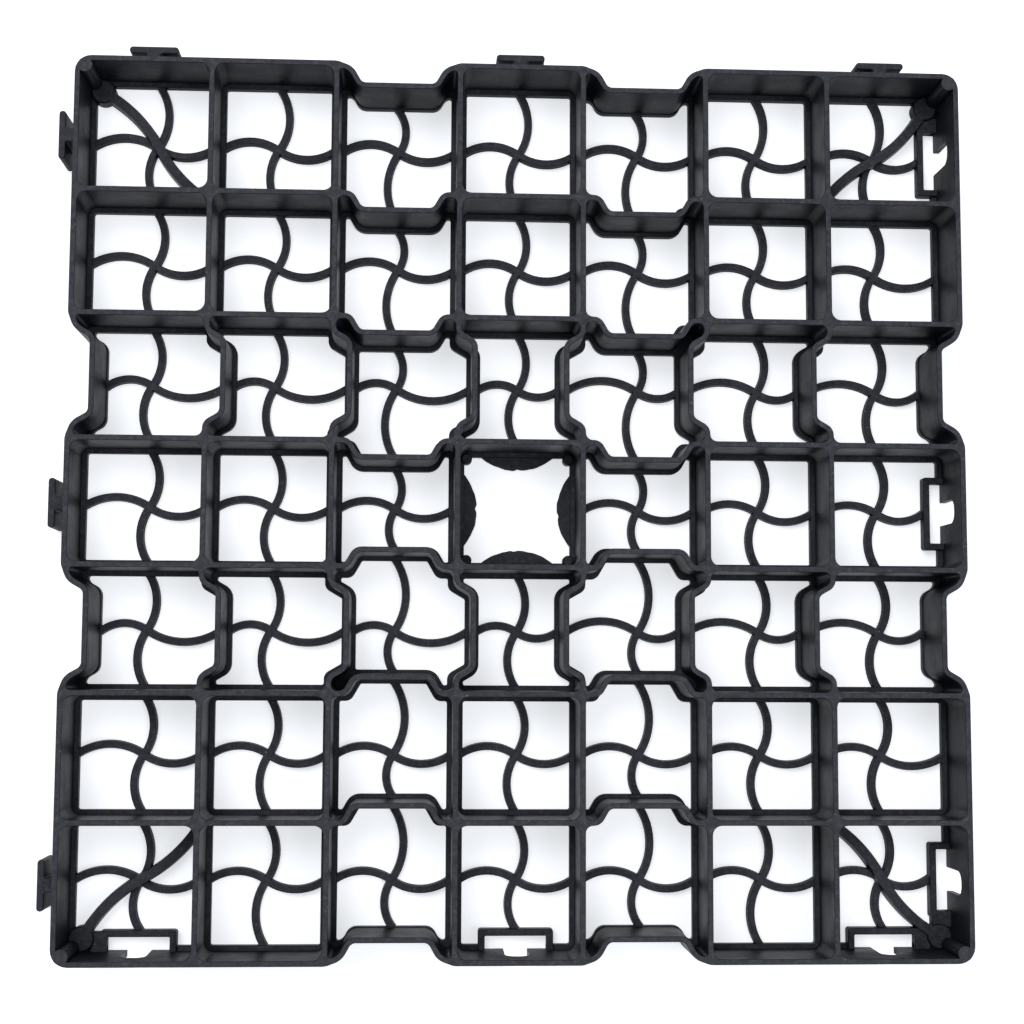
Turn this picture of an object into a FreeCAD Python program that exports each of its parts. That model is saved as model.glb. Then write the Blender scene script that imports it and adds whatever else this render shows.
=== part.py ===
import FreeCAD, Part
import math
import os
import Sketcher

# Grass paver grid: one moulded plastic tile of 7 x 7 open cells with T-shaped tabs on the -X and +Y
# sides and matching sockets on the +X and -Y sides. +Z is up, the side that lies towards the sky.
# The sketches are drawn from the middle of the laying square; the finished tile is moved so that the
# origin is the middle of its bounding box, tabs included, at the underside. Millimetres and degrees.

SIZES = {
    # tile and walls
    "tile_side": 500.0,
    "tile_height": 40.0,
    "cell_pitch": 69.5,
    "wall_thickness": 3.5,
    "corner_radius": 9.5,
    "node_radius": 4.5,
    # the jogs that shift the walls towards the middle in the third and fifth row and column
    "jog_depth": 9.2,
    "jog_straight": 8.7,
    "jog_run": 5.3,
    "notch_lead": 8.0,
    "notch_lead_drop": 2.9,
    "notch_depth": 12.3,
    # flange at the foot of every wall
    "foot_width": 9.0,
    "foot_height": 5.0,
    # S-shaped ribs in the floor of the cells
    "rib_width": 3.6,
    "rib_height": 4.5,
    "rib_angle": 35.0,
    "rib_rise": 1.0,
    "rib_end_gap": 2.5,
    # heavier rib, post and pad in each corner cell
    "diagonal_width": 5.0,
    "diagonal_height": 9.0,
    "diagonal_bow": 3.5,
    "post_radius": 4.0,
    "post_inset": 5.8,
    "pad_radius": 7.0,
    "pad_inset": 10.5,
    "pad_height": 9.0,
    # middle cell
    "crescent_chord": 41.0,
    "crescent_reach": 7.25,
    "crescent_height": 3.0,
    "boss_radius": 2.7,
    "boss_inset": 1.2,
    "boss_height": 8.0,
    # tabs
    "tab_length": 28.0,
    "tab_thickness": 4.2,
    "tab_reach": 10.9,
    "tab_height": 25.0,
    "tab_neck_width": 7.9,
    "tab_end_radius": 1.2,
    # sockets
    "socket_depth_play": 0.4,
    "socket_side_play": 3.2,
    "socket_frame": 3.2,
    "socket_frame_height": 6.0,
    "notch_side_play": 2.8,
    "notch_top_play": 2.0,
    "notch_top_radius": 4.0,
}

# crossings of the wall lines on one side of the middle, counted in half pitches
HALF_PITCHES = (1, 3, 5)
CELLS = range(-3, 4)
# cells of a side that carry a tab or socket, counted in pitches from its middle
LINKED_CELLS = (-3, 0, 3)
# rows and columns whose walls step towards the middle
JOGGED_CELLS = (-1, 1)
QUARTERS = (0, 90, 180, 270)
# straight steps that stand for the round stretches of ribs and of the webs where walls meet
RIB_STEPS = 4
NODE_STEPS = 2

doc = FreeCAD.newDocument("grass_paver_grid")

sheet = doc.addObject("Spreadsheet::Sheet", "Sizes")
for row, (alias, value) in enumerate(SIZES.items(), start=1):
    sheet.set("A%d" % row, alias)
    sheet.set("B%d" % row, str(value))
    sheet.setAlias("B%d" % row, alias)
doc.recompute()


def size(alias):
    return float(sheet.get(alias))


half_side = size("tile_side") / 2
half_wall = size("wall_thickness") / 2
half_foot = size("foot_width") / 2
pitch = size("cell_pitch")
outer_line = half_side - half_wall


# Sketch and feature helpers

def vector(x, y):
    return FreeCAD.Vector(x, y, 0)


def turned(v, degrees):
    angle = math.radians(degrees)
    return vector(v.x * math.cos(angle) - v.y * math.sin(angle),
                  v.x * math.sin(angle) + v.y * math.cos(angle))


def new_sketch(name, placement=FreeCAD.Placement()):
    sketch = doc.addObject("Sketcher::SketchObject", name)
    sketch.Placement = placement
    return sketch


def extruded(name, sketch, length, below="0"):
    """Extrude the sketch along its normal; the lengths are expressions of the sheet."""
    feature = doc.addObject("Part::Extrusion", name)
    feature.Base = sketch
    feature.DirMode = "Normal"
    feature.Solid = True
    feature.FaceMakerClass = "Part::FaceMakerBullseye"
    feature.setExpression("LengthFwd", length)
    feature.setExpression("LengthRev", below)
    return feature


def joined(name, features):
    fusion = doc.addObject("Part::MultiFuse", name)
    fusion.Shapes = features
    return fusion


def loop(points):
    return [Part.LineSegment(a, b) for a, b in zip(points, points[1:] + points[:1])]


def box_loop(x1, x2, y1, y2, angle=0):
    return loop([turned(vector(x, y), angle) for x, y in ((x1, y1), (x2, y1), (x2, y2), (x1, y2))])


def offset_corners(points, offset):
    """Corners of the line that runs at a distance to the left of a closed path."""
    corners = []
    for i, point in enumerate(points):
        behind = (point - points[i - 1]).normalize()
        ahead = (points[(i + 1) % len(points)] - point).normalize()
        corners.append(point + (turned(behind, 90) + turned(ahead, 90)) * (offset / (1 + behind.dot(ahead))))
    return corners


def arc_stops(corners, i, radius):
    """Start, hub and end of the arc that rounds one corner; it never uses up the sides beside it."""
    corner = corners[i]
    back = corners[i - 1] - corner
    ahead = corners[(i + 1) % len(corners)] - corner
    half_angle = back.getAngle(ahead) / 2
    reach = min(radius / math.tan(half_angle), 0.9 * min(back.Length, ahead.Length))
    back.normalize()
    ahead.normalize()
    hub = corner + (back + ahead).normalize() * (reach / math.cos(half_angle))
    return corner + back * reach, hub, corner + ahead * reach


def rounded_loop(corners, radii):
    """Closed outline whose corners are rounded by true arcs; radius 0 leaves one sharp."""
    stops = []
    edges = []
    for i, corner in enumerate(corners):
        if radii[i] == 0:
            stops.append((corner, corner))
            continue
        start, hub, end = arc_stops(corners, i, radii[i])
        middle = hub + (corner - hub).normalize() * (start - hub).Length
        edges.append(Part.Arc(start, middle, end))
        stops.append((start, end))
    for i, stop in enumerate(stops):
        edges.append(Part.LineSegment(stop[1], stops[(i + 1) % len(stops)][0]))
    return edges


def stepped_corners(corners, radii, steps):
    """The same with each arc drawn in straight steps, as a list of points."""
    points = []
    for i, corner in enumerate(corners):
        if radii[i] == 0:
            points.append(corner)
            continue
        start, hub, end = arc_stops(corners, i, radii[i])
        spoke = start - hub
        sweep = math.degrees(math.atan2(spoke.cross(end - hub).z, spoke.dot(end - hub)))
        points += [hub + turned(spoke, sweep * step / steps) for step in range(steps + 1)]
    return points


# Centre lines of the walls

def line_place(steps):
    """Place of a wall line, counted in half pitches from the middle."""
    if abs(steps) > HALF_PITCHES[-1]:
        return math.copysign(outer_line, steps)
    return steps * pitch / 2


def step_depth(steps):
    """How far a wall line steps towards the middle in a jogged row or column."""
    return size("notch_depth") if abs(steps) > HALF_PITCHES[-1] else size("jog_depth")


def jog(start, end, fixed):
    """Four corners of the jog of a wall that runs along X from start to end at height fixed."""
    way = math.copysign(1, end - start)
    inward = -math.copysign(1, fixed)
    if abs(fixed) == outer_line:
        stops = ((size("notch_lead"), size("notch_lead_drop")),
                 (size("notch_lead") + size("jog_run"), size("notch_depth")))
    else:
        stops = ((size("jog_straight"), 0), (size("jog_straight") + size("jog_run"), size("jog_depth")))
    first_half = [vector(start + way * along, fixed + inward * drop) for along, drop in stops]
    second_half = [vector(end - way * along, fixed + inward * drop) for along, drop in reversed(stops)]
    return first_half + second_half


def cell_path(column, row):
    """Closed centre line of the walls round a cell, counter-clockwise, and the radii of its corners:
    those at wall crossings are rounded."""
    left, right = line_place(2 * column - 1), line_place(2 * column + 1)
    lower, upper = line_place(2 * row - 1), line_place(2 * row + 1)
    sides = (
        (0, left, right, lower, column in JOGGED_CELLS),
        (90, lower, upper, -right, row in JOGGED_CELLS),
        (180, -right, -left, -upper, column in JOGGED_CELLS),
        (270, -upper, -lower, left, row in JOGGED_CELLS),
    )
    points = []
    radii = []
    for angle, start, end, fixed, jogged in sides:
        run = [vector(start, fixed)] + (jog(start, end, fixed) if jogged else [])
        points += [turned(point, angle) for point in run]
        radii += [size("node_radius")] + [0] * (len(run) - 1)
    return points, radii


def outer_path():
    """Closed centre line of the outer wall, counter-clockwise, and the radii of its outer corners."""
    points = []
    radii = []
    for angle in QUARTERS:
        run = [vector(-outer_line, -outer_line)]
        for column in JOGGED_CELLS:
            start, end = line_place(2 * column - 1), line_place(2 * column + 1)
            run += [vector(start, -outer_line)] + jog(start, end, -outer_line) + [vector(end, -outer_line)]
        points += [turned(point, angle) for point in run]
        radii += [size("corner_radius")] + [0] * (len(run) - 1)
    return points, radii


def foot_opening(path):
    """Opening between the feet round a cell. Where both walls of a corner step into the cell, their
    feet close the corner."""
    corners = offset_corners(path, half_foot)
    limit = line_place(HALF_PITCHES[1]) - size("jog_depth") - half_foot
    outline = []
    for point in corners:
        if min(abs(point.x), abs(point.y)) > limit - 0.001 and max(abs(point.x), abs(point.y)) < line_place(3):
            point = vector(math.copysign(limit, point.x), math.copysign(limit, point.y))
            if outline and outline[-1].distanceToPoint(point) < 0.001:
                continue
        outline.append(point)
    if outline[0].distanceToPoint(outline[-1]) < 0.001:
        outline.pop()
    return outline


# Walls: a slab with an opening for each cell, standing on a foot slab whose openings are narrower

path, radii = outer_path()
outer_edges = rounded_loop(offset_corners(path, -half_wall), radii)
foot_top = FreeCAD.Placement(FreeCAD.Vector(0, 0, size("foot_height")), FreeCAD.Rotation())
wall_sketch = new_sketch("wall_outlines", foot_top)
foot_sketch = new_sketch("foot_outlines")
wall_sketch.addGeometry(outer_edges)
foot_sketch.addGeometry(outer_edges)
for column in CELLS:
    for row in CELLS:
        path, radii = cell_path(column, row)
        opening = stepped_corners(offset_corners(path, half_wall), radii, NODE_STEPS)
        wall_sketch.addGeometry(loop(opening))
        foot_sketch.addGeometry(loop(foot_opening(path)))
walls = extruded("walls", wall_sketch, "Sizes.tile_height - Sizes.foot_height")
foot = extruded("foot", foot_sketch, "Sizes.foot_height")


# S-shaped ribs: every cell but the middle one has one along X, and one along Y that is the rib of
# another cell after a quarter turn of the tile

def arm_side(length, side):
    """Points beside one arm of an S-rib, from the crossing outwards along +X. The arm is an arc that
    leaves at -rib_angle and meets the wall rib_rise above the axis; side is the distance to its left."""
    leave = math.radians(size("rib_angle"))
    to_chord = leave + math.atan2(size("rib_rise"), length)
    radius = math.hypot(length, size("rib_rise")) / (2 * math.sin(to_chord))
    hub = vector(radius * math.sin(leave), radius * math.cos(leave))
    first_spoke = (vector(0, 0) - hub).normalize() * (radius - side)
    turn = math.degrees(2 * to_chord) / RIB_STEPS
    return [hub + turned(first_spoke, turn * step) for step in range(RIB_STEPS + 1)]


def s_rib(centre, left, right):
    """Corners of an S-rib along X whose arms have the given lengths; one arm is the other turned."""
    half = size("rib_width") / 2
    above = [centre - p for p in reversed(arm_side(left, -half))][:-1] + [centre + p for p in arm_side(right, half)]
    below = [centre - p for p in reversed(arm_side(left, half))][:-1] + [centre + p for p in arm_side(right, -half)]
    return above + below[::-1]


def wall_at_cell(steps, jogged):
    """Place of a wall line where a cell's rib meets it."""
    place = line_place(steps)
    return place - math.copysign(step_depth(steps), steps) if jogged else place


rib_sketches = {angle: new_sketch("rib_outlines_%d" % angle) for angle in (0, 90)}
for row in CELLS:
    for column in CELLS:
        if row == 0 and column == 0:
            continue
        jogged = row in JOGGED_CELLS
        x = column * pitch
        left_arm = x - wall_at_cell(2 * column - 1, jogged) - size("rib_end_gap")
        right_arm = wall_at_cell(2 * column + 1, jogged) - x - size("rib_end_gap")
        outline = s_rib(vector(x, row * pitch), left_arm, right_arm)
        for angle, sketch in rib_sketches.items():
            sketch.addGeometry(loop([turned(point, angle) for point in outline]))
ribs = [extruded("ribs_%d" % angle, sketch, "Sizes.rib_height") for angle, sketch in rib_sketches.items()]


# Corner cells: post in the corner, pad at its foot, heavier S-rib to the next crossing

def corner_point(inset):
    return vector(inset - half_side, half_side - inset)


def discs(name, centre, radius, height):
    """A disc and its three copies by quarter turns."""
    sketch = new_sketch(name + "_outlines")
    for angle in QUARTERS:
        sketch.addGeometry(Part.Circle(turned(centre, angle), FreeCAD.Vector(0, 0, 1), radius))
    return extruded(name, sketch, height)


posts = discs("posts", corner_point(size("post_inset")), size("post_radius"), "Sizes.tile_height")
corner_pads = discs("corner_pads", corner_point(size("pad_inset")), size("pad_radius"), "Sizes.pad_height")

diagonal_start = corner_point(size("pad_inset"))
diagonal_end = vector(-line_place(HALF_PITCHES[-1]), line_place(HALF_PITCHES[-1]))
diagonal_length = diagonal_start.distanceToPoint(diagonal_end)


def bow_side(side):
    """Points beside half of the diagonal rib, from its start along +X, bowed to its left."""
    chord = diagonal_length / 2
    bow = size("diagonal_bow")
    radius = chord ** 2 / (8 * bow) + bow / 2
    half_turn = math.degrees(math.asin(chord / 2 / radius))
    hub = vector(chord / 2, bow - radius)
    return [hub + turned(vector(0, radius + side), half_turn * (1 - 2 * step / RIB_STEPS))
            for step in range(RIB_STEPS + 1)]


def diagonal_outline():
    """Corners of the diagonal rib of the corner at -X +Y: the second half is the first one turned."""
    half = size("diagonal_width") / 2
    far = vector(diagonal_length, 0)
    left = bow_side(half) + [far - point for point in reversed(bow_side(-half))][1:]
    right = bow_side(-half) + [far - point for point in reversed(bow_side(half))][1:]
    return [diagonal_start + turned(point, -45) for point in left + right[::-1]]


diagonal_sketch = new_sketch("diagonal_outlines")
for angle in QUARTERS:
    diagonal_sketch.addGeometry(loop([turned(point, angle) for point in diagonal_outline()]))
diagonals = extruded("diagonals", diagonal_sketch, "Sizes.diagonal_height")


# Middle cell: a crescent flange on each wall's foot, a boss in each corner

foot_face = pitch / 2 - half_foot
chord_end = size("crescent_chord") / 2
crescent_sketch = new_sketch("crescent_outlines")
for angle in QUARTERS:
    left, tip, right, root_right, root_left = (
        turned(vector(x, y), angle) for x, y in (
            (-chord_end, foot_face), (0, foot_face - size("crescent_reach")), (chord_end, foot_face),
            (chord_end, pitch / 2), (-chord_end, pitch / 2)))
    crescent_sketch.addGeometry([Part.Arc(left, tip, right), Part.LineSegment(right, root_right),
                                 Part.LineSegment(root_right, root_left), Part.LineSegment(root_left, left)])
crescents = extruded("crescents", crescent_sketch, "Sizes.crescent_height")
boss_place = foot_face - size("boss_inset")
bosses = discs("bosses", vector(-boss_place, boss_place), size("boss_radius"), "Sizes.boss_height")


# T-shaped tabs on the -X side and, a quarter turn clockwise, on the +Y side

tab_sketch = new_sketch("tab_outlines")
head_outer = half_side + size("tab_reach")
head_inner = head_outer - size("tab_thickness")
head_end = size("tab_length") / 2
neck = size("tab_neck_width") / 2
half_tee = ((-outer_line, neck), (-head_inner, neck), (-head_inner, head_end), (-head_outer, head_end))
end_radius = size("tab_end_radius")
for cell in LINKED_CELLS:
    middle = vector(0, cell * pitch)
    upper = [middle + vector(x, y) for x, y in half_tee]
    lower = [middle + vector(x, -y) for x, y in reversed(half_tee)]
    for angle in (0, -90):
        corners = [turned(point, angle) for point in upper + lower]
        tab_sketch.addGeometry(rounded_loop(corners, [0, 0] + [end_radius] * 4 + [0, 0]))
tabs = extruded("tabs", tab_sketch, "Sizes.tab_height")


# Sockets on the +X side and, a quarter turn clockwise, on the -Y side: a low frame inside the wall,
# its floor open, and an arched notch through the wall for the tab's neck

pocket_end = size("tab_length") / 2 + size("socket_side_play")
pocket_inner = half_side - size("tab_reach") - size("socket_depth_play")
frame_inner = pocket_inner - size("socket_frame")
frame_end = pocket_end + size("socket_frame")
wall_face = half_side - size("wall_thickness")

frame_sketch = new_sketch("socket_frame_outlines")
pocket_sketch = new_sketch("socket_pocket_outlines")
for cell in LINKED_CELLS:
    y = cell * pitch
    for angle in (0, -90):
        frame_sketch.addGeometry(box_loop(frame_inner, wall_face - 1, y - frame_end, y + frame_end, angle))
        pocket_sketch.addGeometry(box_loop(pocket_inner, wall_face, y - pocket_end, y + pocket_end, angle))
frames = extruded("socket_frames", frame_sketch, "Sizes.socket_frame_height")
pockets = extruded("socket_pockets", pocket_sketch, "Sizes.socket_frame_height + 1", "1")

notch_half = size("tab_neck_width") / 2 + size("notch_side_play")
notch_top = size("tab_height") + size("notch_top_play")
arch_radii = [0, 0, size("notch_top_radius"), size("notch_top_radius")]
# each sketch stands on a side of the tile, its Y up and its normal pointing out
side_faces = {
    "right": FreeCAD.Placement(FreeCAD.Vector(half_side, 0, 0), FreeCAD.Rotation(0.5, 0.5, 0.5, 0.5)),
    "lower": FreeCAD.Placement(FreeCAD.Vector(0, -half_side, 0),
                               FreeCAD.Rotation(FreeCAD.Vector(1, 0, 0), 90)),
}
cutters = [pockets]
for name, placement in side_faces.items():
    notch_sketch = new_sketch("neck_notch_outlines_" + name, placement)
    for cell in LINKED_CELLS:
        y = cell * pitch
        arch = [vector(y - notch_half, -1), vector(y + notch_half, -1),
                vector(y + notch_half, notch_top), vector(y - notch_half, notch_top)]
        notch_sketch.addGeometry(rounded_loop(arch, arch_radii))
    cutters.append(extruded("neck_notches_" + name, notch_sketch, "1", "Sizes.wall_thickness + 1"))

whole = joined("tile_without_sockets",
               [walls, foot] + ribs + [posts, corner_pads, diagonals, crescents, bosses, tabs, frames])
tile = doc.addObject("Part::Cut", "paver_grid")
tile.Label = "paver_grid"
tile.Base = whole
tile.Tool = joined("socket_cutters", cutters)
tile.Refine = True
tile.setExpression("Placement.Base.x", "Sizes.tab_reach / 2")
tile.setExpression("Placement.Base.y", "-Sizes.tab_reach / 2")

doc.recompute()

for item in doc.Objects:
    states = " ".join(item.State)
    if "Invalid" in states or "Error" in states:
        raise RuntimeError("%s does not build: %s" % (item.Name, states))
if tile.Shape.isNull() or not tile.Shape.isValid() or len(tile.Shape.Solids) != 1:
    raise RuntimeError("the tile is not one valid solid")

os.makedirs("parts", exist_ok=True)
tile.Shape.exportStep("parts/paver_grid.step")
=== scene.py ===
import math

import bmesh
import bpy
import numpy as np
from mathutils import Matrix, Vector
from mathutils.geometry import delaunay_2d_cdt


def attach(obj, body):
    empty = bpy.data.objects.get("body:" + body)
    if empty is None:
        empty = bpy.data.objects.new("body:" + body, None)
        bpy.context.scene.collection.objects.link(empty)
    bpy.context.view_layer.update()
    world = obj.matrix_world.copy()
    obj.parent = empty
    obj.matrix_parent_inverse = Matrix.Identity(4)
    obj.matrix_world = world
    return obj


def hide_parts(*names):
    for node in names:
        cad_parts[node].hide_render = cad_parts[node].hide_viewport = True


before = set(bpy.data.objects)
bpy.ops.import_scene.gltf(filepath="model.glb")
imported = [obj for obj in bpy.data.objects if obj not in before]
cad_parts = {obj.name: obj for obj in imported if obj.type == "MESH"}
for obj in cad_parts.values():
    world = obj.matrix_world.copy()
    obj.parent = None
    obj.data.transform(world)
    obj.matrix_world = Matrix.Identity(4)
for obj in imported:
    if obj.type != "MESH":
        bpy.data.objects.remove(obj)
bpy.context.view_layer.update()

# Sizes are in metres and angles in degrees. Plans are drawn from the middle of the laying square and
# moved when a mesh is made, because the frame's origin is the middle of the box with the tabs.
# Outline, walls, cells, tabs and sockets are the CAD part's; ribs, posts and frames are a little
# fuller, and bends, rims and edges are rounded.
MM = 0.001

# Laying square, walls and cells
SIDE = 500 * MM
HEIGHT = 40 * MM
PITCH = 69.5 * MM
WALL = 3.5 * MM
OUTER_LINE = (SIDE - WALL) / 2
WALL_LINES = np.concatenate([[-OUTER_LINE], np.arange(-2.5, 3.0) * PITCH, [OUTER_LINE]])
CELLS = range(7)
MIDDLE, LAST = 3, 6
JOGGED = (2, 4)                # rows and columns whose walls step towards the middle
LINKED = (0, 3, 6)             # rows and columns that end in a tab and in a socket

# Jogs of the inner walls, notches of the outer wall, and the bends between
JOG_DEPTH = 9.2 * MM
JOG_STRAIGHT = 8.7 * MM        # from the crossing to the jog
JOG_RUN = 5.3 * MM
NOTCH_LEAD = 8.0 * MM          # from the crossing to the notch, over which the wall drifts in
NOTCH_DROP = 2.9 * MM
NOTCH_DEPTH = 12.3 * MM
NODE_RADIUS = 5.0 * MM
JOG_RADIUS = 5.4 * MM
LEAD_RADIUS = 9.0 * MM
TILE_RADIUS = 9.5 * MM

# Foot along the walls
FOOT = 9.0 * MM
JOG_FOOT = 8.0 * MM
NOTCH_FOOT = 4.6 * MM
FOOT_HEIGHT = 5.0 * MM
FOOT_RADIUS = 1.2 * MM
WALL_SINK = 1.0 * MM           # how deep the walls start inside the foot

# Ribs
RIB_WIDTH = 4.8 * MM
RIB_HEIGHT = 4.5 * MM
RIB_ANGLE = 35.0               # an S-rib's slope at its middle
RIB_RISE = 1.0 * MM
RIB_GAP = 1.2 * MM
DIAGONAL_WIDTH = 6.4 * MM
DIAGONAL_HEIGHT = 9.0 * MM
DIAGONAL_BOW = 3.5 * MM
BAR_ROUNDING = 0.35 * MM
BAR_DRAFT = 0.5 * MM           # a rib is this much narrower on each side at its top

# Posts and pads of the corners, bosses and crescents of the middle cell
POST_RADIUS = 4.2 * MM
POST_INSET = 5.8 * MM
POST_HEIGHT = HEIGHT - 0.1 * MM
POST_ROUNDING = 0.5 * MM
PAD_RADIUS = 7.0 * MM
PAD_INSET = 10.5 * MM
PAD_HEIGHT = 9.0 * MM
PAD_ROUNDING = 1.2 * MM
BOSS_RADIUS = 3.1 * MM
BOSS_INSET = 1.2 * MM
BOSS_HEIGHT = 8.0 * MM
BOSS_ROUNDING = 1.0 * MM
CRESCENT_CHORD = 41.0 * MM
CRESCENT_REACH = 7.25 * MM
CRESCENT_HEIGHT = 3.0 * MM
WAVER = 0.16 * MM              # of a crescent's edge
WAVER_TURNS = (9.0, 23.0)      # radians of the slow and the quick wave over half a chord
QUICK_WAVER = 0.6              # share of the quick wave
GATE_NICK = 0.8 * MM
GATE_SHARPNESS = 17.0          # half a chord over the nick's half width
GATE_STRAY = 0.04              # share of half a chord by which each next nick is off its middle

# Tabs and sockets
TAB_LENGTH = 28.0 * MM
TAB_THICKNESS = 4.2 * MM
TAB_REACH = 10.9 * MM
TAB_HEIGHT = 25.0 * MM
TAB_NECK = 7.9 * MM
TAB_END = 2.0 * MM
TAB_THROAT = 0.8 * MM
TAB_DRAFT = 0.15 * MM
POCKET_HALF = 17.2 * MM
POCKET_INNER = 238.7 * MM
FRAME = 3.8 * MM
FRAME_HEIGHT = 7.0 * MM
FRAME_CORNER = 1.6 * MM
FRAME_POCKET_CORNER = 0.6 * MM
FRAME_SEAT = 0.5 * MM          # how far a frame reaches into the wall
CORNER_WEB = 5.0 * MM
ARCH_HALF = 6.75 * MM
ARCH_TOP = 27.0 * MM
ARCH_RADIUS = 6.0 * MM
CUT_OVER = 1.0 * MM            # a cutter reaches this far past what it cuts
FRAME_SHIFT = np.array([TAB_REACH / 2, -TAB_REACH / 2, 0.0])

# Edges, and the small steps that keep two faces out of one plane
STEP_DOWN = 0.06 * MM          # between tops
STEP_UP = 0.03 * MM            # between undersides: the foot stands on 0, each kind of detail higher
EDGE_ROUNDING = 0.6 * MM
RIM_ROUNDING = 0.45 * MM
WALL_DRAFT = 0.2 * MM          # a wall is this much thinner on each side at its rim
SMALLEST_RADIUS = 0.25 * MM    # corners that are sharp to the eye still have this rounding
SIDE_SHARE = 0.48              # of a side that one arc may take
STRAIGHT = 1e-9                # tangent of a turn that counts as none
SQUARE_TURN = 1.5              # radians from which a corner counts as square
CORNER_STEPS = 6
ARM_POINTS = 15
DISC_POINTS = 40
CRESCENT_POINTS = 45
QUARTER = np.radians(np.linspace(0, 90, 4))
SMOOTH_ANGLE = 38.0

# Finish: colours as red, green and blue light, patterns in repeats for each metre
CLOUD_SCALE = 55.0
GRAIN_SCALE = 1300.0
MOTTLE_SCALE = 330.0
SPECK_SCALE = 620.0
STREAK_SCALE = 520.0
STREAK_STRETCH = 0.035         # streaks are drawn out along Z by this share
DEEP_BLACK = (0.0072, 0.0083, 0.0120)
SOFT_BLACK = (0.0135, 0.0153, 0.0215)
STREAK_BLACK = (0.0065, 0.0071, 0.0095)
# painted shade: near-black for the rib's shadow on the wall above each rib
RIB_SHADE_BLACK = (0.0035, 0.0037, 0.0048)
# upward faces: painted paler for the light from above, with a mottle of worn scuffs
TOP_LIT_WORN_DARK = (0.0275, 0.0295, 0.0370)
TOP_LIT_WORN_GREY = (0.0450, 0.0480, 0.0575)
TOP_LIT_WORN_PALE = (0.0760, 0.0800, 0.0915)
SPECK_GREY = (0.16, 0.165, 0.175)
STREAK_SHARE = 0.55
# painted shade above the ribs: its share, where it is full and where it ends
RIB_SHADE_SHARE = 0.9
RIB_SHADE_CORE = 1.95 * MM          # the painted shade above a rib is full to here from the rib's middle and gone here
RIB_SHADE_EDGE = 3.51 * MM          # and gone here
LOW_TOP_LIGHT_AND_WEAR = 0.8               # painted top light and wear of an upward face down at the ribs, where a rim has 1
GLOSSY = 0.38
SATIN = 0.52
MATTE = 0.56
PLASTIC_IOR = 1.46
PLASTIC_SPECULAR = 0.08

# Floor, light and camera: the camera's place and tilt are over the laying square
PAPER_COLOUR = (0.86, 0.87, 0.92)
PAPER_GLOW = (0.95, 0.975, 1.0)
SKY_COLOUR = (0.97, 0.985, 1.0)
FLOOR_SIDE = 8.0
FLOOR_GLOW = 0.6
SKY_LIGHT = 0.5                # strength with which the sky lights; it is seen at 1
CAMERA_PLACE = (-48.5 * MM, -99.2 * MM, 991.2 * MM)
CAMERA_TILT = (5.349, -2.985, 0.244)
CAMERA_LENS = 61.02
PICTURE_WIDTH = 36.0           # of the camera's sensor, in millimetres as the lens


# Plans and solids

def turn(points, degrees):
    """Points of a plan turned counter-clockwise about the middle of the tile."""
    angle = math.radians(degrees)
    matrix = np.array([[math.cos(angle), math.sin(angle)], [-math.sin(angle), math.cos(angle)]])
    return points @ matrix


def turns(path):
    """For each corner of a closed path: the direction of the side before it, that side's left normal,
    and the cosine and size of its turn, positive to the left."""
    behind = path - np.roll(path, 1, axis=0)
    behind /= np.linalg.norm(behind, axis=1, keepdims=True)
    ahead = np.roll(behind, -1, axis=0)
    cosine = (behind * ahead).sum(1)
    turning = np.arctan2(behind[:, 0] * ahead[:, 1] - behind[:, 1] * ahead[:, 0], cosine)
    return behind, np.column_stack([-behind[:, 1], behind[:, 0]]), cosine, turning


def ring(path, offset, radii):
    """Closed line at a distance to the left of a closed path of corners, every corner rounded.

    A corner of the offset line is the path's corner moved along the sum of the two side normals; its
    arc turns from one side's direction to the other's in equal steps about a hub one radius inside.
    The radii are those on the path itself: the offset makes them smaller on the inner side of a bend
    and larger on the outer side.
    """
    behind, normal, cosine, turning = turns(path)
    way = np.sign(turning)
    corner = path + (normal + np.roll(normal, -1, axis=0)) * (offset / (1 + cosine))[:, None]
    side = np.linalg.norm(corner - np.roll(corner, 1, axis=0), axis=1)
    room = SIDE_SHARE * np.minimum(side, np.roll(side, -1))
    tangent = np.maximum(np.tan(np.abs(turning) / 2), STRAIGHT)
    reach = np.minimum(np.maximum(np.asarray(radii) - way * offset, SMALLEST_RADIUS) * tangent, room)
    radius = reach / tangent
    hub = corner - behind * reach[:, None] + normal * (way * radius)[:, None]
    angle = turning[:, None] * np.linspace(0, 1, CORNER_STEPS + 1)
    spoke = -normal * (way * radius)[:, None]
    x = spoke[:, :1] * np.cos(angle) - spoke[:, 1:] * np.sin(angle)
    y = spoke[:, :1] * np.sin(angle) + spoke[:, 1:] * np.cos(angle)
    return (hub[:, None, :] + np.stack([x, y], axis=2)).reshape(-1, 2)


def soft_levels(bottom, top, rounding, draft=0.0):
    """Levels (height, inset) of an upright side: it leans in by the draft, and a quarter round ends
    it."""
    rise = top - rounding + rounding * np.sin(QUARTER)
    inset = draft + rounding * (1 - np.cos(QUARTER))
    return np.column_stack([np.append(bottom, rise), np.append(0.0, inset)])


def filled(lines):
    """Triangles over a plan between an outer line and its holes, as the most even ones that join the
    lines' own points; a triangle names its points by their number in all lines together."""
    count = [len(line) for line in lines]
    corners = [list(range(end - size, end)) for end, size in zip(np.cumsum(count).tolist(), count)]
    points = [Vector(point) for line in lines for point in line.tolist()]
    inside_with_holes = 2
    result = delaunay_2d_cdt(points, [], corners, inside_with_holes, 0.0)
    origin = [sources[0] for sources in result[3]]
    return np.array(origin)[np.array(result[2])]


def wrapped(grid):
    """Quads between the rows of a grid of point numbers, each row closed on itself."""
    right = np.roll(grid, -1, axis=1)
    return np.stack([grid[:-1], right[:-1], right[1:], grid[1:]], axis=-1).reshape(-1, 4)


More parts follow.
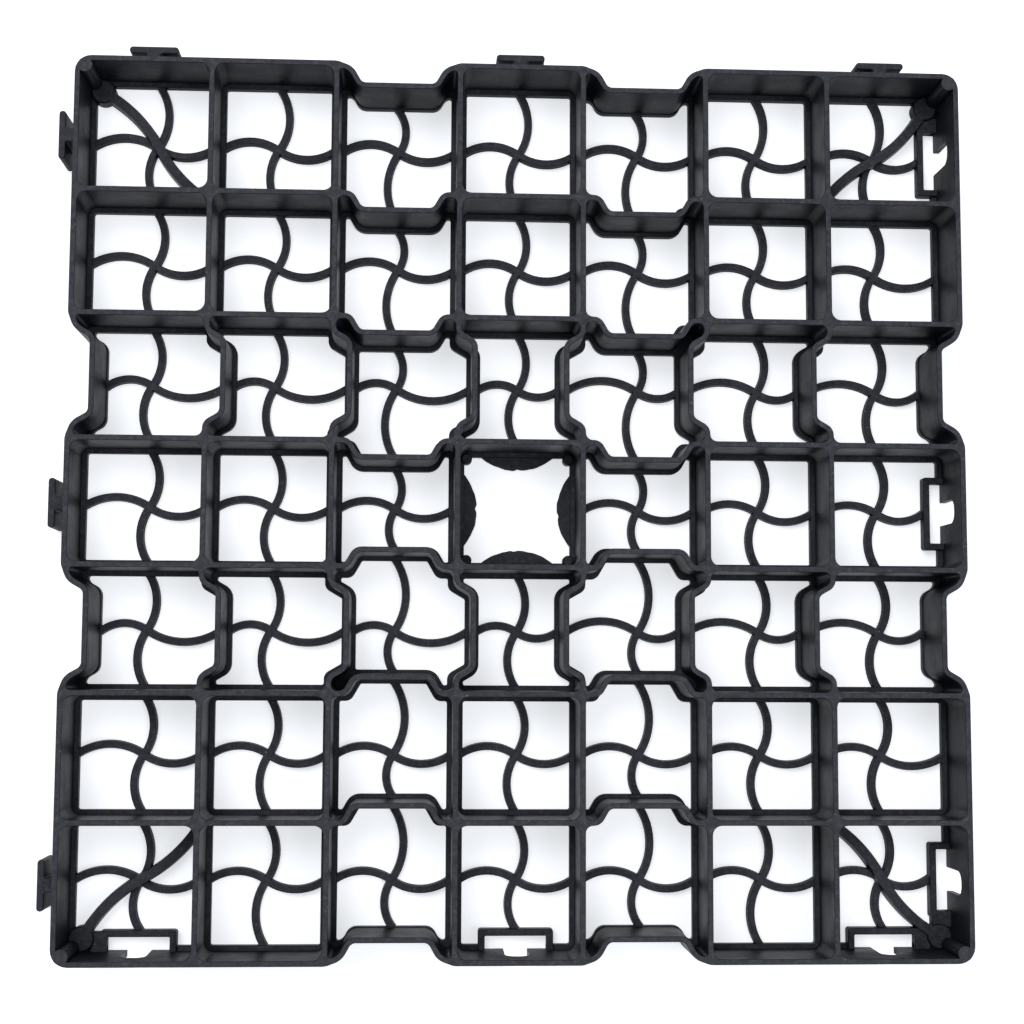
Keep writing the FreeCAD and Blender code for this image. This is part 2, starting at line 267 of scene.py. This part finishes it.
def tower(outer, holes, levels):
    """Closed solid between plans: at each level the outer line and the holes' lines are those that
    outer(inset) and each hole(inset) give; quads join the levels and a filled plan ends them."""
    points = []
    faces = []
    start = 0
    caps = [[], []]
    for line, is_hole in [(outer, False)] + [(hole, True) for hole in holes]:
        plans = np.stack([line(inset) for inset in levels[:, 1]])
        heights = np.broadcast_to(levels[:, 0, None, None], plans.shape[:2] + (1,))
        grid = start + np.arange(heights.size).reshape(plans.shape[:2])
        quads = wrapped(grid)
        faces += (quads[:, ::-1] if is_hole else quads).tolist()
        points.append(np.concatenate([plans, heights], axis=2).reshape(-1, 3))
        caps[0].append(grid[0])
        caps[1].append(grid[-1])
        start += grid.size
    points = np.concatenate(points)
    for cap, upward in zip(caps, (False, True)):
        triangles = np.concatenate(cap)[filled([points[line][:, :2] for line in cap])]
        a, b, c = (points[triangles[:, k]] for k in range(3))
        rises = np.cross(b - a, c - a)[:, 2] > 0
        triangles[rises != upward] = triangles[rises != upward][:, ::-1]
        faces += triangles.tolist()
    return points, faces


def block(corners, radii, levels):
    """Closed solid over one counter-clockwise plan, shrunk by each level's inset."""
    return tower(lambda inset: ring(corners, inset, radii), [], levels)


def disc(centre, radius, levels):
    """Closed round solid over a circle, shrunk by each level's inset."""
    angle = np.linspace(0, 2 * math.pi, DISC_POINTS, endpoint=False)
    spokes = np.column_stack([np.cos(angle), np.sin(angle)])
    return tower(lambda inset: centre + spokes * (radius - inset), [], levels)


def bar(line, width, bottom, height):
    """Closed bar along an open line: its section, drafted sides with small rounded edges and a flat
    top, is carried along the line square to it."""
    along = np.gradient(line, axis=0)
    along /= np.linalg.norm(along, axis=1, keepdims=True)
    normal = np.column_stack([-along[:, 1], along[:, 0]])
    half = width / 2 - BAR_DRAFT - BAR_ROUNDING + BAR_ROUNDING * np.cos(QUARTER)
    rise = height - BAR_ROUNDING + BAR_ROUNDING * np.sin(QUARTER)
    across = np.concatenate([[width / 2], half, -half[::-1], [-width / 2]])
    up = np.concatenate([[bottom], rise, rise[::-1], [bottom]])
    plan = line[:, None, :] + normal[:, None, :] * across[None, :, None]
    heights = np.broadcast_to(up[None, :, None], plan.shape[:2] + (1,))
    points = np.concatenate([plan, heights], axis=2).reshape(-1, 3)
    grid = np.arange(len(points)).reshape(plan.shape[:2])
    return points, wrapped(grid).tolist() + [grid[0][::-1].tolist(), grid[-1].tolist()]


def turned_solid(solid, degrees):
    """A solid turned counter-clockwise about the middle of the tile."""
    points, faces = solid
    return np.column_stack([turn(points[:, :2], degrees), points[:, 2]]), faces


def mesh_of(name, solids):
    """One mesh of several closed solids, moved to the frame."""
    points = []
    faces = []
    start = 0
    for solid_points, solid_faces in solids:
        points.append(solid_points + FRAME_SHIFT)
        faces += [[start + k for k in face] for face in solid_faces]
        start += len(solid_points)
    mesh = bpy.data.meshes.new(name)
    mesh.from_pydata(np.concatenate(points).tolist(), [], faces)
    return mesh


def thing_of(name, data):
    """An object of the scene, made from a mesh, a lamp or a camera."""
    thing = bpy.data.objects.new(name, data)
    bpy.context.scene.collection.objects.link(thing)
    return thing


def cut_mesh(mesh, cutters):
    """A mesh after solids are cut out of it."""
    thing = thing_of(mesh.name, mesh)
    for cutter in cutters:
        modifier = thing.modifiers.new("cut", "BOOLEAN")
        modifier.object = cutter
        modifier.solver = "EXACT"
    bpy.context.view_layer.update()
    graph = bpy.context.evaluated_depsgraph_get()
    result = bpy.data.meshes.new_from_object(thing.evaluated_get(graph))
    bpy.data.objects.remove(thing)
    return result


# Plans of the walls: lines 0 to 7 and cells 0 to 6 both ways, from the lower left

def jog(start, end, fixed):
    """Four corners of the step towards the middle of a wall along X."""
    way = math.copysign(1, end - start)
    inward = -math.copysign(1, fixed)
    if abs(fixed) == OUTER_LINE:
        first, second = (NOTCH_LEAD, NOTCH_DROP), (NOTCH_LEAD + JOG_RUN, NOTCH_DEPTH)
    else:
        first, second = (JOG_STRAIGHT, 0.0), (JOG_STRAIGHT + JOG_RUN, JOG_DEPTH)
    near = [(start + way * along, fixed + inward * depth) for along, depth in (first, second)]
    far = [(end - way * along, fixed + inward * depth) for along, depth in (second, first)]
    return near + far


def cell_path(column, row):
    """Centre line of the walls round a cell, counter-clockwise, and its corner radii: its four sides
    are drawn as walls along X and turned by quarters."""
    left, right = WALL_LINES[column], WALL_LINES[column + 1]
    lower, upper = WALL_LINES[row], WALL_LINES[row + 1]
    sides = ((0, left, right, lower, column in JOGGED), (90, lower, upper, -right, row in JOGGED),
             (180, -right, -left, -upper, column in JOGGED), (270, -upper, -lower, left, row in JOGGED))
    corners = []
    radii = []
    for angle, start, end, fixed, jogged in sides:
        run = [(start, fixed)] + (jog(start, end, fixed) if jogged else [])
        lead = LEAD_RADIUS if abs(fixed) == OUTER_LINE else JOG_RADIUS
        corners.append(turn(np.array(run), angle))
        radii += [NODE_RADIUS + WALL / 2] + ([lead, JOG_RADIUS, JOG_RADIUS, lead] if jogged else [])
    return np.concatenate(corners), np.array(radii)


def outer_path():
    """Centre line of the outer wall, counter-clockwise, and its corner radii."""
    notch = [LEAD_RADIUS, LEAD_RADIUS, JOG_RADIUS, JOG_RADIUS, LEAD_RADIUS, LEAD_RADIUS]
    run = [(-OUTER_LINE, -OUTER_LINE)]
    for column in JOGGED:
        start, end = WALL_LINES[column], WALL_LINES[column + 1]
        run += [(start, -OUTER_LINE)] + jog(start, end, -OUTER_LINE) + [(end, -OUTER_LINE)]
    corners = [turn(np.array(run), angle) for angle in (0, 90, 180, 270)]
    radii = ([TILE_RADIUS - WALL / 2] + notch * len(JOGGED)) * 4
    return np.concatenate(corners), np.array(radii)


def foot_path(column, row):
    """Opening between the feet of a cell, and its corner radii. The foot is wide on the straight
    stretches and narrow along the steps: a corner is where two side lines, each at its own distance
    from the wall line, cross. Where two walls of a corner step into the cell, the feet close it."""
    path, radii = cell_path(column, row)
    _, normal, cosine, turning = turns(path)
    sides = ((column, row == 0), (row, column == LAST), (column, row == LAST), (row, column == 0))
    near = np.concatenate([[FOOT / 2] * 2 + [(NOTCH_FOOT if outer else JOG_FOOT) / 2] * 3
                           if cell in JOGGED else [FOOT / 2] for cell, outer in sides])
    far = np.roll(near, -1)
    share = ((near - cosine * far) / (1 - cosine ** 2))[:, None]
    next_share = ((far - cosine * near) / (1 - cosine ** 2))[:, None]
    line = path + normal * share + np.roll(normal, -1, axis=0) * next_share
    bend_radii = radii - np.sign(turning) * (near + far) / 2
    inner_radii = np.where(np.abs(turning) > SQUARE_TURN, FOOT_RADIUS, bend_radii)
    if column in JOGGED and row in JOGGED:
        limit = WALL_LINES[max(JOGGED) + 1] - JOG_DEPTH - JOG_FOOT / 2
        closed = np.abs(line).min(axis=1) > limit - MM
        first = int(np.flatnonzero(closed & ~np.roll(closed, 1))[0])
        order = np.roll(np.arange(len(line)), -first)
        order = order[~closed[order]]
        corner = np.sign([column - MIDDLE, row - MIDDLE]) * limit
        line = np.concatenate([[corner], line[order]])
        inner_radii = np.concatenate([[FOOT_RADIUS], inner_radii[order]])
    return line, inner_radii


# Ribs

def arm(length):
    """Centre line of one arm of an S-rib along +X: an arc that leaves at -RIB_ANGLE and ends
    RIB_RISE above the axis."""
    leave = math.radians(RIB_ANGLE)
    to_chord = leave + math.atan2(RIB_RISE, length)
    radius = math.hypot(length, RIB_RISE) / (2 * math.sin(to_chord))
    angle = -math.pi / 2 - leave + np.linspace(0, 2 * to_chord, ARM_POINTS)
    hub = np.array([radius * math.sin(leave), radius * math.cos(leave)])
    return hub + radius * np.column_stack([np.cos(angle), np.sin(angle)])


def wall_at_cell(line, jogged):
    """Place of a wall line where a rib meets it."""
    place = WALL_LINES[line]
    depth = NOTCH_DEPTH if line in (0, LAST + 1) else JOG_DEPTH
    return place - math.copysign(depth, place) if jogged else place


def s_ribs():
    """All S-ribs: one along X in every cell but the middle one, and the same after a quarter turn.
    Where a socket stands in the way, the arm ends in its frame."""
    ways = ((0, STEP_UP, RIB_HEIGHT, LAST), (90, 2 * STEP_UP, RIB_HEIGHT - STEP_DOWN, 0))
    bars = []
    for column in CELLS:
        for row in CELLS:
            if column == MIDDLE and row == MIDDLE:
                continue
            x, y = (column - MIDDLE) * PITCH, (row - MIDDLE) * PITCH
            left = x - wall_at_cell(column, row in JOGGED) - RIB_GAP
            right = wall_at_cell(column + 1, row in JOGGED) - x - RIB_GAP
            to_frame = POCKET_INNER - FRAME / 2 - abs(x)
            for angle, bottom, height, socket_column in ways:
                at_socket = column == socket_column and row in LINKED
                left_arm = -arm(to_frame if at_socket and column == 0 else left)[:0:-1]
                right_arm = arm(to_frame if at_socket and column == LAST else right)
                line = np.array([x, y]) + np.concatenate([left_arm, right_arm])
                bars.append(bar(turn(line, angle), RIB_WIDTH, bottom, height))
    return bars


def diagonal_ribs():
    """Heavier S-rib of each corner cell, from the pad to the next wall crossing: two equal arcs, each
    a bow over half the chord, the second turned half round."""
    start = np.array([PAD_INSET - SIDE / 2, SIDE / 2 - PAD_INSET])
    end = np.array([WALL_LINES[1], WALL_LINES[LAST]])
    chord = np.linalg.norm(end - start) / 2
    radius = chord ** 2 / (8 * DIAGONAL_BOW) + DIAGONAL_BOW / 2
    angle = np.arcsin(chord / 2 / radius) * np.linspace(-1, 1, ARM_POINTS)
    bow = DIAGONAL_BOW - radius + radius * np.cos(angle)
    half = np.column_stack([chord / 2 + radius * np.sin(angle), bow])
    line = start + turn(np.concatenate([half, np.array([2 * chord, 0.0]) - half[-2::-1]]), -45)
    return [bar(turn(line, angle), DIAGONAL_WIDTH, 3 * STEP_UP, DIAGONAL_HEIGHT)
            for angle in (0, 90, 180, 270)]


# Posts, crescents, tabs and sockets

def corner_posts():
    """Post and pad in each corner, four bosses in the middle cell."""
    post = np.array([POST_INSET - SIDE / 2, SIDE / 2 - POST_INSET])
    pad = np.array([PAD_INSET - SIDE / 2, SIDE / 2 - PAD_INSET])
    boss = (PITCH / 2 - FOOT / 2 - BOSS_INSET) * np.array([-1.0, 1.0])
    solids = [disc(post, POST_RADIUS, soft_levels(4 * STEP_UP, POST_HEIGHT, POST_ROUNDING)),
              disc(pad, PAD_RADIUS, soft_levels(5 * STEP_UP, PAD_HEIGHT - STEP_DOWN, PAD_ROUNDING)),
              disc(boss, BOSS_RADIUS, soft_levels(6 * STEP_UP, BOSS_HEIGHT, BOSS_ROUNDING))]
    return [turned_solid(solid, angle) for solid in solids for angle in (0, 90, 180, 270)]


def crescents():
    """Flange on each wall's foot in the middle cell: a segment of a circle whose edge wavers a little,
    as the sum of a slow and a quick sine, and has a bell-shaped gate nick near its middle."""
    face = PITCH / 2 - FOOT / 2
    half = CRESCENT_CHORD / 2
    radius = (half ** 2 + CRESCENT_REACH ** 2) / (2 * CRESCENT_REACH)
    share = np.linspace(-1, 1, CRESCENT_POINTS)
    sweep = math.asin(half / radius) * share
    segment = face - CRESCENT_REACH + radius - radius * np.cos(sweep)
    back = np.array([[half, PITCH / 2], [-half, PITCH / 2]])
    levels = soft_levels(7 * STEP_UP, CRESCENT_HEIGHT, EDGE_ROUNDING)
    slow, quick = WAVER_TURNS
    solids = []
    for side, angle in enumerate((0, 90, 180, 270)):
        waver = np.sin(slow * share + 2 * side) + QUICK_WAVER * np.sin(quick * share + side)
        nick = GATE_NICK * np.exp(-((share - GATE_STRAY * side) * GATE_SHARPNESS) ** 2)
        edge = WAVER * waver * (1 - share ** 2) + nick
        arc = np.column_stack([radius * np.sin(sweep), segment + edge])
        solid = tower(lambda inset: np.concatenate([arc + [0, inset], back]), [], levels)
        solids.append(turned_solid(solid, angle))
    return solids


def tabs():
    """T-shaped tabs on the -X side and, a quarter turn clockwise, on the +Y side."""
    outer = SIDE / 2 + TAB_REACH
    inner = outer - TAB_THICKNESS
    half = np.array([[-OUTER_LINE, TAB_NECK / 2], [-inner, TAB_NECK / 2], [-inner, TAB_LENGTH / 2],
                     [-outer, TAB_LENGTH / 2]])
    radii = np.array([0, TAB_THROAT, TAB_END, TAB_END, TAB_END, TAB_END, TAB_THROAT, 0])
    solids = []
    for cell in LINKED:
        plan = np.concatenate([half, half[::-1] * [1, -1]]) + [0, (cell - MIDDLE) * PITCH]
        solid = block(plan, radii, soft_levels(8 * STEP_UP, TAB_HEIGHT, EDGE_ROUNDING, TAB_DRAFT))
        solids += [turned_solid(solid, angle) for angle in (0, -90)]
    return solids


def socket_frames():
    """Low U frames inside the wall on the +X side and, a quarter turn clockwise, the -Y side; those
    beside a corner have a web to its pad."""
    face = SIDE / 2 - WALL + FRAME_SEAT
    inner = POCKET_INNER - FRAME
    web_inner = inner + MM
    end = POCKET_HALF + FRAME
    plan = np.array([[inner, -end], [face, -end], [face, -POCKET_HALF], [POCKET_INNER, -POCKET_HALF],
                     [POCKET_INNER, POCKET_HALF], [face, POCKET_HALF], [face, end], [inner, end]])
    radii = np.array([FRAME_CORNER, 0, 0, FRAME_POCKET_CORNER, FRAME_POCKET_CORNER, 0, 0, FRAME_CORNER])
    frame_levels = soft_levels(9 * STEP_UP, FRAME_HEIGHT, EDGE_ROUNDING)
    web_levels = soft_levels(10 * STEP_UP, FRAME_HEIGHT - STEP_DOWN, EDGE_ROUNDING)
    solids = []
    for cell in LINKED:
        middle = [0, (cell - MIDDLE) * PITCH]
        pieces = [block(plan + middle, radii, frame_levels)]
        if cell != MIDDLE:
            way = math.copysign(1, cell - MIDDLE)
            low, high = sorted((way * (end - FRAME / 2), way * (end + CORNER_WEB)))
            web = np.array([[web_inner, low], [face, low], [face, high], [web_inner, high]]) + middle
            pieces.append(block(web, np.zeros(4), web_levels))
        solids += [turned_solid(piece, angle) for piece in pieces for angle in (0, -90)]
    return solids


def socket_cutters():
    """The sockets' floor pockets and the arched notches through the wall, as two objects. A notch is
    drawn upright as (Y, Z) and raised along X."""
    face = SIDE / 2 - WALL
    well_levels = np.array([[-CUT_OVER, 0.0], [FRAME_HEIGHT + CUT_OVER, 0.0]])
    arch_levels = np.array([[face - CUT_OVER, 0.0], [SIDE / 2 + CUT_OVER, 0.0]])
    pockets = []
    arches = []
    for cell in LINKED:
        y = (cell - MIDDLE) * PITCH
        plan = np.array([[POCKET_INNER, y - POCKET_HALF], [face, y - POCKET_HALF],
                         [face, y + POCKET_HALF], [POCKET_INNER, y + POCKET_HALF]])
        well = block(plan, np.zeros(4), well_levels)
        arch_plan = np.array([[y - ARCH_HALF, -CUT_OVER], [y + ARCH_HALF, -CUT_OVER],
                              [y + ARCH_HALF, ARCH_TOP], [y - ARCH_HALF, ARCH_TOP]])
        points, faces = block(arch_plan, np.array([0, 0, ARCH_RADIUS, ARCH_RADIUS]), arch_levels)
        arch = (points[:, [2, 0, 1]], faces)
        pockets += [turned_solid(well, angle) for angle in (0, -90)]
        arches += [turned_solid(arch, angle) for angle in (0, -90)]
    named = (("pockets", pockets), ("arches", arches))
    return [thing_of(name, mesh_of(name, solids)) for name, solids in named]


# The whole tile

def lattice():
    """Walls and foot: two slabs with an opening for each cell, cut by the sockets."""
    path, radii = outer_path()
    cells = [cell_path(column, row) for column in CELLS for row in CELLS]
    feet = [foot_path(column, row) for column in CELLS for row in CELLS]
    walls = tower(lambda inset: ring(path, inset - WALL / 2, radii),
                  [lambda inset, cell=cell: ring(cell[0], WALL / 2 - inset, cell[1]) for cell in cells],
                  soft_levels(FOOT_HEIGHT - WALL_SINK, HEIGHT, RIM_ROUNDING, WALL_DRAFT))
    foot = tower(lambda inset: ring(path, inset - WALL / 2, radii),
                 [lambda inset, plan=plan: ring(plan[0], -inset, plan[1]) for plan in feet],
                 soft_levels(0.0, FOOT_HEIGHT, EDGE_ROUNDING))
    pockets, arches = socket_cutters()
    meshes = [cut_mesh(mesh_of("walls", [walls]), [arches]),
              cut_mesh(mesh_of("foot", [foot]), [pockets, arches])]
    bpy.data.objects.remove(pockets)
    bpy.data.objects.remove(arches)
    return meshes


def moulding():
    """The whole tile as one mesh of closed solids that run into each other, as one mould fills them."""
    details = s_ribs() + diagonal_ribs() + corner_posts() + crescents() + tabs() + socket_frames()
    together = bmesh.new()
    for mesh in lattice() + [mesh_of("details", details)]:
        together.from_mesh(mesh)
    mesh = bpy.data.meshes.new("paver_moulding")
    together.to_mesh(mesh)
    together.free()
    mesh.materials.clear()
    mesh.materials.append(recycled_plastic())
    mesh.polygons.foreach_set("use_smooth", np.ones(len(mesh.polygons), dtype=bool))
    mesh.set_sharp_from_angle(angle=math.radians(SMOOTH_ANGLE))
    tile = thing_of("paver_moulding", mesh)
    flats = tile.modifiers.new("flats", "WEIGHTED_NORMAL")
    flats.keep_sharp = True
    return tile


# Shader helpers

def new_material(name):
    """A material with an empty node tree, and that tree."""
    material = bpy.data.materials.new(name)
    material.use_nodes = True
    material.node_tree.nodes.clear()
    return material, material.node_tree


def add(tree, kind, **settings):
    """A node with its settings; a setting that names an input socket sets that socket's value."""
    node = tree.nodes.new(kind)
    for key, value in settings.items():
        if hasattr(node, key):
            setattr(node, key, value)
        else:
            node.inputs[key.replace("_", " ")].default_value = value
    return node


def calculate(tree, operation, *operands):
    """Result of a sum over sockets and plain numbers."""
    node = add(tree, "ShaderNodeMath", operation=operation)
    for socket, operand in zip(node.inputs, operands):
        if isinstance(operand, float):
            socket.default_value = operand
        else:
            tree.links.new(operand, socket)
    return node.outputs[0]


def ramp(tree, source, stops):
    """A colour ramp of (place, grey or colour) stops."""
    node = add(tree, "ShaderNodeValToRGB")
    elements = node.color_ramp.elements
    while len(elements) < len(stops):
        elements.new(1.0)
    for element, (place, colour) in zip(elements, stops):
        element.position = place
        element.color = (*colour, 1.0) if isinstance(colour, tuple) else (colour, colour, colour, 1.0)
    tree.links.new(source, node.inputs["Fac"])
    return node.outputs["Color"]


def mixed(tree, factor, first, second):
    """Colour between two, each a socket or a plain colour."""
    node = add(tree, "ShaderNodeMix", data_type="RGBA")
    tree.links.new(factor, node.inputs["Factor"])
    for name, value in (("A", first), ("B", second)):
        socket = [entry for entry in node.inputs if entry.name == name and entry.type == "RGBA"][0]
        if isinstance(value, tuple):
            socket.default_value = (*value, 1.0)
        else:
            tree.links.new(value, socket)
    return [entry for entry in node.outputs if entry.type == "RGBA"][0]


def noise(tree, place, scale, detail, roughness):
    """Grey cloud pattern over a place."""
    node = add(tree, "ShaderNodeTexNoise", Scale=scale, Detail=detail, Roughness=roughness)
    tree.links.new(place, node.inputs["Vector"])
    return node.outputs["Fac"]


def bump(tree, height, strength, distance, under=None):
    """Normal of a relief, laid over an earlier one where it is given."""
    node = add(tree, "ShaderNodeBump", Strength=strength, Distance=distance)
    tree.links.new(height, node.inputs["Height"])
    if under is not None:
        tree.links.new(under, node.inputs["Normal"])
    return node.outputs["Normal"]


def between(tree, source, low, high, **settings):
    """0 to 1 while a value goes from low to high, unless the settings give another range."""
    node = add(tree, "ShaderNodeMapRange", From_Min=low, From_Max=high, **settings)
    tree.links.new(source, node.inputs["Value"])
    return node.outputs[0]


def split(tree, vector):
    """The X, Y and Z of a vector, by name."""
    node = add(tree, "ShaderNodeSeparateXYZ")
    tree.links.new(vector, node.inputs[0])
    return node.outputs


def shown(tree, surface):
    """Makes a shader the surface of its material."""
    output = add(tree, "ShaderNodeOutputMaterial")
    tree.links.new(surface, output.inputs["Surface"])


# Finish of the tile

def painted_rib_shade(tree, place, normal):
    """Painted shade: 1 on a wall straight above a rib, where the rib's shadow falls, and 0 elsewhere:
    the distance to the nearest cell middle, measured along the wall that the normal stands on."""
    bands = []
    for along, across, shift in (("X", "Y", FRAME_SHIFT[0]), ("Y", "X", FRAME_SHIFT[1])):
        cells = calculate(tree, "MULTIPLY_ADD", place[along], 1 / PITCH, -shift / PITCH)
        distance = calculate(tree, "PINGPONG", cells, 0.5)
        near = ramp(tree, distance, [(RIB_SHADE_CORE / PITCH, 1.0), (RIB_SHADE_EDGE / PITCH, 0.0)])
        square = calculate(tree, "MULTIPLY", normal[across], normal[across])
        facing = ramp(tree, square, [(0.6, 0.0), (0.8, 1.0)])
        bands.append(calculate(tree, "MULTIPLY", near, facing))
    either = calculate(tree, "MAXIMUM", *bands)
    high = between(tree, place["Z"], FOOT_HEIGHT - MM, FOOT_HEIGHT + MM,
                   interpolation_type="SMOOTHSTEP")
    return calculate(tree, "MULTIPLY", either, high)


def recycled_plastic():
    """Black moulded plastic from regrind: cloudy flow marks, drawn streaks down the walls, painted shade
    above each rib, painted paler light on rims and upward faces with worn scuffs and specks, and a fine
    grain."""
    material, tree = new_material("recycled_plastic")
    place = add(tree, "ShaderNodeTexCoord").outputs["Object"]
    axes = split(tree, place)
    normal = split(tree, add(tree, "ShaderNodeNewGeometry").outputs["Normal"])
    drawn = add(tree, "ShaderNodeMapping", vector_type="POINT", Scale=(1.0, 1.0, STREAK_STRETCH))
    tree.links.new(place, drawn.inputs["Vector"])

    clouds = noise(tree, place, CLOUD_SCALE, detail=5.0, roughness=0.62)
    grain = noise(tree, place, GRAIN_SCALE, detail=2.0, roughness=0.6)
    mottle = noise(tree, place, MOTTLE_SCALE, detail=4.0, roughness=0.7)
    specks = noise(tree, place, SPECK_SCALE, detail=1.0, roughness=0.5)
    streaks = noise(tree, drawn.outputs["Vector"], STREAK_SCALE, detail=3.0, roughness=0.65)

    cloudy = ramp(tree, clouds, [(0.32, DEEP_BLACK), (0.68, SOFT_BLACK)])
    colour = mixed(tree, ramp(tree, streaks, [(0.45, 0.0), (0.7, STREAK_SHARE)]), cloudy, STREAK_BLACK)
    # painted shade: the wall above each rib is darkened as the rib's shadow
    rib_shade = calculate(tree, "MULTIPLY", painted_rib_shade(tree, axes, normal), RIB_SHADE_SHARE)
    colour = mixed(tree, rib_shade, colour, RIB_SHADE_BLACK)

    # painted light: upward faces are paler where the light from above falls, mixed with worn scuffs, and
    # a little less down at the ribs
    top_lit_and_worn = ramp(tree, mottle, [(0.3, TOP_LIT_WORN_DARK), (0.55, TOP_LIT_WORN_GREY), (0.74, TOP_LIT_WORN_PALE)])
    facing_up = ramp(tree, normal["Z"], [(0.72, 0.0), (0.95, 1.0)])
    top_light_and_wear = calculate(tree, "MULTIPLY", facing_up,
                     between(tree, axes["Z"], FOOT_HEIGHT, HEIGHT, To_Min=LOW_TOP_LIGHT_AND_WEAR))
    colour = mixed(tree, top_light_and_wear, colour, top_lit_and_worn)
    colour = mixed(tree, ramp(tree, specks, [(0.77, 0.0), (0.80, 1.0)]), colour, SPECK_GREY)

    gloss = ramp(tree, clouds, [(0.32, GLOSSY), (0.68, SATIN)])
    fine = bump(tree, grain, strength=0.3, distance=0.2 * MM)
    drag = bump(tree, streaks, strength=0.25, distance=0.3 * MM, under=fine)
    waves = bump(tree, clouds, strength=0.45, distance=0.9 * MM, under=drag)

    surface = add(tree, "ShaderNodeBsdfPrincipled", IOR=PLASTIC_IOR, Specular_IOR_Level=PLASTIC_SPECULAR)
    tree.links.new(colour, surface.inputs["Base Color"])
    tree.links.new(mixed(tree, facing_up, gloss, (MATTE, MATTE, MATTE)), surface.inputs["Roughness"])
    tree.links.new(waves, surface.inputs["Normal"])
    shown(tree, surface.outputs[0])
    return material


tile = moulding()
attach(tile, "root")
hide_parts("paver_grid")


# Floor, light and camera

def seen_directly(tree):
    """1 for camera, glossy and transmission rays, 0 for those that light the tile."""
    rays = add(tree, "ShaderNodeLightPath").outputs
    seen = calculate(tree, "MAXIMUM", rays["Is Camera Ray"], rays["Is Glossy Ray"])
    return calculate(tree, "MAXIMUM", seen, rays["Is Transmission Ray"])


def white_floor():
    """White paper floor that keeps the soft, slightly blue shade beside the walls and is seen brighter
    than it is lit, as an exposure for a black object shows it. From below it is clear."""
    material, tree = new_material("white_floor")
    paper = add(tree, "ShaderNodeBsdfDiffuse", Color=(*PAPER_COLOUR, 1.0))
    glow = add(tree, "ShaderNodeEmission", Color=(*PAPER_GLOW, 1.0))
    tree.links.new(calculate(tree, "MULTIPLY", seen_directly(tree), FLOOR_GLOW), glow.inputs["Strength"])
    total = add(tree, "ShaderNodeAddShader")
    tree.links.new(paper.outputs[0], total.inputs[0])
    tree.links.new(glow.outputs[0], total.inputs[1])
    one_sided = add(tree, "ShaderNodeMixShader")
    tree.links.new(add(tree, "ShaderNodeNewGeometry").outputs["Backfacing"], one_sided.inputs[0])
    tree.links.new(total.outputs[0], one_sided.inputs[1])
    tree.links.new(add(tree, "ShaderNodeBsdfTransparent").outputs[0], one_sided.inputs[2])
    shown(tree, one_sided.outputs[0])
    return material


def floor():
    """Square floor a hair under the foot."""
    half = FLOOR_SIDE / 2
    mesh = bpy.data.meshes.new("floor")
    corners = [(x, y, -STEP_UP) for x, y in ((-half, -half), (half, -half), (half, half), (-half, half))]
    mesh.from_pydata(corners, [], [(0, 1, 2, 3)])
    mesh.materials.append(white_floor())
    return thing_of("floor", mesh)


def soft_light(name, place, side, power):
    """A square soft box aimed at the middle of the tile."""
    light = bpy.data.lights.new(name, "AREA")
    light.size = side
    light.energy = power
    lamp = thing_of(name, light)
    lamp.location = place
    x, y, z = place
    lamp.rotation_euler = (math.atan2(math.hypot(x, y), z), 0.0, math.atan2(y, x) + math.pi / 2)


def studio_sky():
    """World of even light that is seen as white."""
    world = bpy.data.worlds.new("studio")
    world.use_nodes = True
    tree = world.node_tree
    sky = tree.nodes["Background"]
    sky.inputs["Color"].default_value = (*SKY_COLOUR, 1.0)
    strength = calculate(tree, "MULTIPLY_ADD", seen_directly(tree), 1.0 - SKY_LIGHT, SKY_LIGHT)
    tree.links.new(strength, sky.inputs["Strength"])
    return world


floor()
soft_light("window_light", place=(-0.9, 1.1, 2.4), side=1.6, power=35.0)
soft_light("fill_light", place=(1.4, -0.9, 2.2), side=1.4, power=16.0)
bpy.context.scene.world = studio_sky()

lens = bpy.data.cameras.new("camera")
lens.lens = CAMERA_LENS
lens.sensor_width = PICTURE_WIDTH
camera = thing_of("camera", lens)
camera.location = CAMERA_PLACE
camera.rotation_euler = [math.radians(angle) for angle in CAMERA_TILT]
bpy.context.scene.camera = camera
bpy.context.scene.view_settings.view_transform = "Standard"
